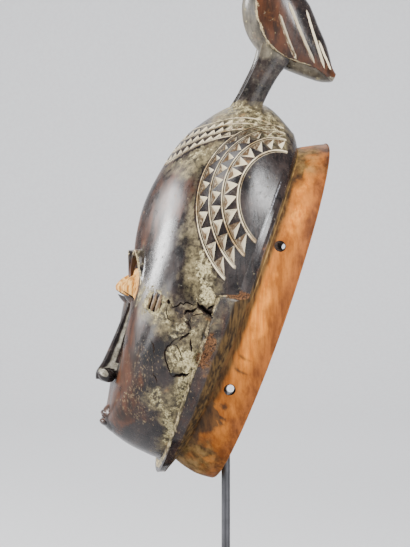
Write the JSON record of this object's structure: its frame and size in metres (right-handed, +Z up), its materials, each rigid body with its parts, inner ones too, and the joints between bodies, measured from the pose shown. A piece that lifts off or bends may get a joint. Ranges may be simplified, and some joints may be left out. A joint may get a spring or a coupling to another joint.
{
  "type": "yaure mask on rod stand",
  "caption": "Hollow carved wooden face mask with chip-carved hair, a jaw ruff and a bird standing on the crown, held upright by a steel rod stand.",
  "frame": {"origin": "centre of the underside of the stand's square foot", "axes": "+Z up along the rod, -Y the way the mask's face looks, +X the mask's own left side"},
  "size_m": [0.164, 0.1815, 0.4907],
  "materials": {
    "carved_wood": "dark hand-polished patina with raw wood rim band",
    "stand_steel": "dark grey satin steel",
    "foot_steel": "dark satin steel plate"
  },
  "bodies": {
    "root": {"mask": "carved_wood", "stand_rod": "stand_steel", "stand_foot": "foot_steel"}
  },
  "joints": []
}
